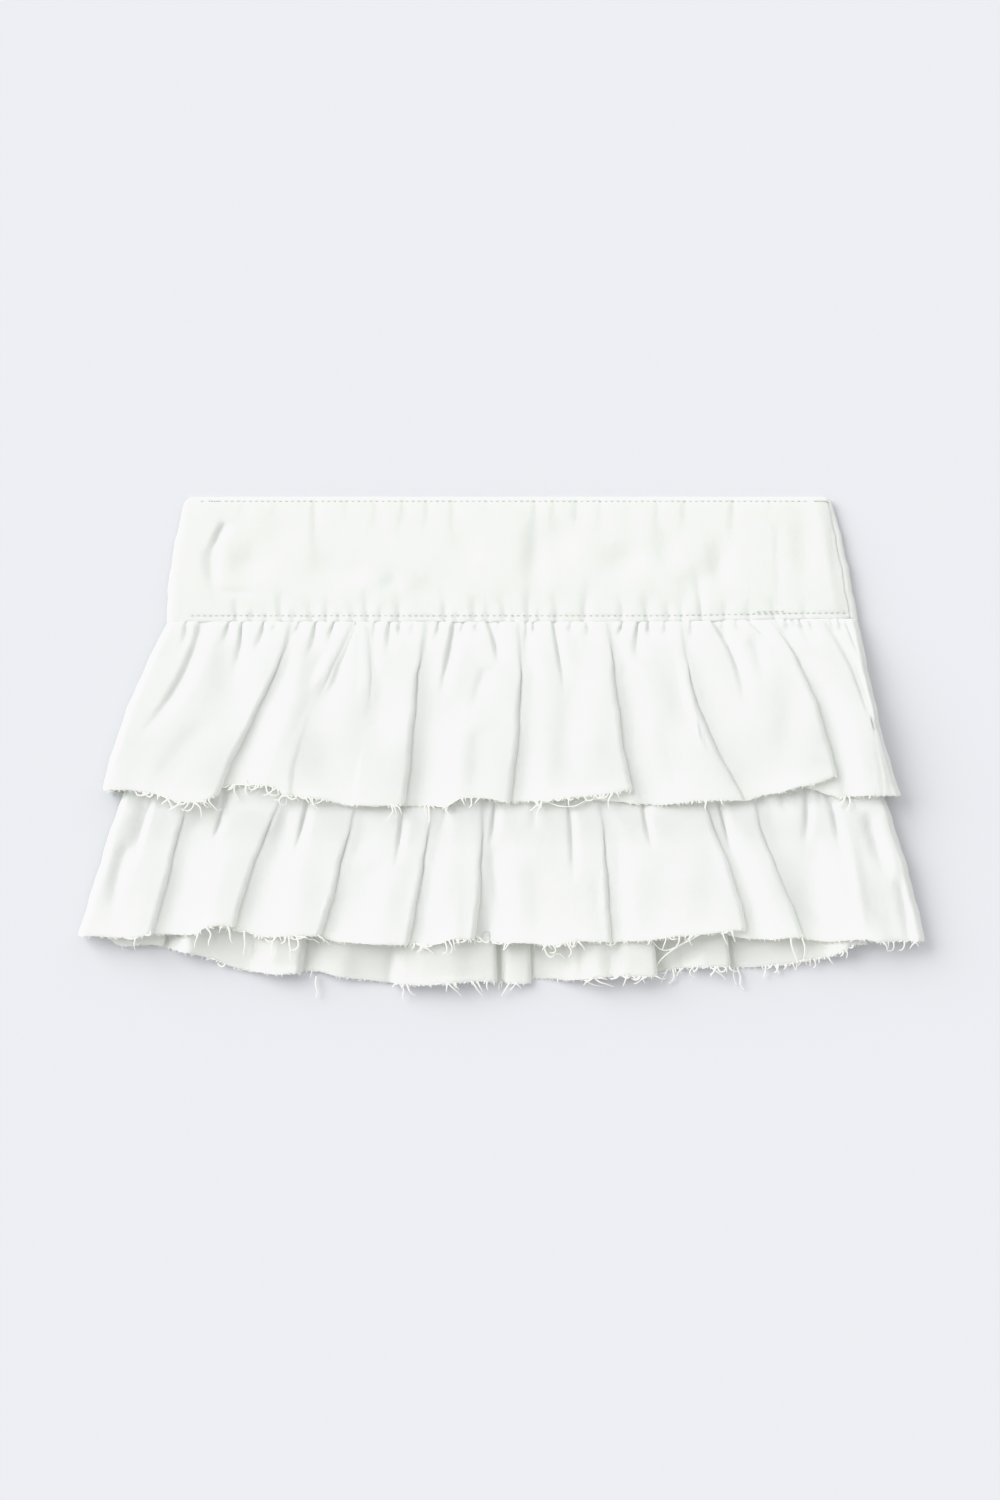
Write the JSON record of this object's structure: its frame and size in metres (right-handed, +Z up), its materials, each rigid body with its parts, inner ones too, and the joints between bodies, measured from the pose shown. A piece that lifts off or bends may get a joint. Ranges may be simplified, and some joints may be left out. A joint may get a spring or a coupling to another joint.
{
  "type": "tiered denim mini skirt laid flat",
  "caption": "Short white denim skirt with a deep plain yoke and gathered ruffle tiers with frayed raw hems, lying flat on a surface with its front up.",
  "frame": {"origin": "on the surface that the skirt lies on, under the middle of its outline", "axes": "+X across the skirt to the right as its front is seen, +Y from the hem to the waist, +Z up from the surface, out of the front"},
  "size_m": [0.4924, 0.2896, 0.0186],
  "materials": {
    "white_denim": "matte cotton twill",
    "denim_inside": "matte cotton twill, inside",
    "fray_thread": "loose cotton yarn"
  },
  "bodies": {
    "root": {"yoke_front": "white_denim", "yoke_back": "white_denim", "base_front": "white_denim", "base_back": "white_denim", "upper_ruffle_front": "white_denim", "upper_ruffle_back": "white_denim", "lower_ruffle_front": "white_denim", "lower_ruffle_back": "denim_inside", "upper_front_fray": "fray_thread", "upper_back_fray": "fray_thread", "lower_front_fray": "fray_thread", "lower_back_fray": "fray_thread"}
  },
  "joints": []
}
